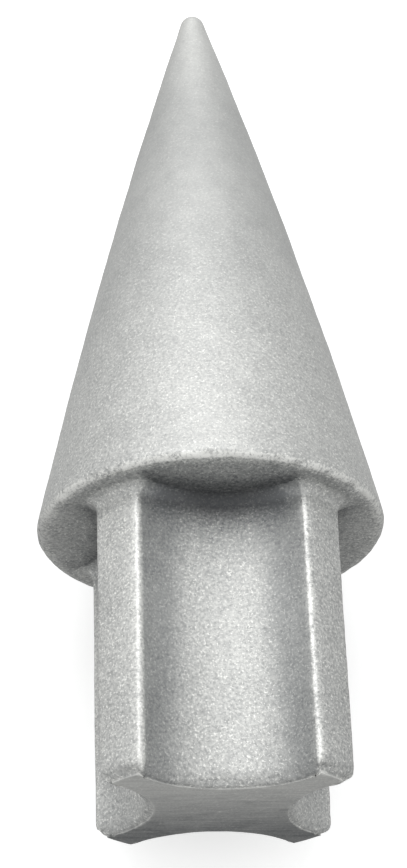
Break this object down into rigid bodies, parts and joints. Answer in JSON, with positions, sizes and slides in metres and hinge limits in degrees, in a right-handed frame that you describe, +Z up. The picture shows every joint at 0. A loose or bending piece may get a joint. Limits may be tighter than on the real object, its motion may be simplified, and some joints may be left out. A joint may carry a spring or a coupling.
{
  "type": "excavator bucket tooth",
  "caption": "Conical steel ground-engaging tooth cast in one piece with a flat shoulder and a short fluted shank for a round socket.",
  "frame": {"origin": "centre of the flat end face of the shank, on the tooth's axis", "axes": "+Y along the tooth's axis from the shank to the tip, +Z up with the tooth lying on its side, one flute facing each of +Z, -Z, +X and -X"},
  "size_m": [0.0738, 0.203, 0.0738],
  "materials": {
    "blasted_steel": "light grey, matt, blasted casting skin; the end face of the shank is smoother and darker"
  },
  "bodies": {
    "root": {"tooth": "blasted_steel"}
  },
  "joints": []
}
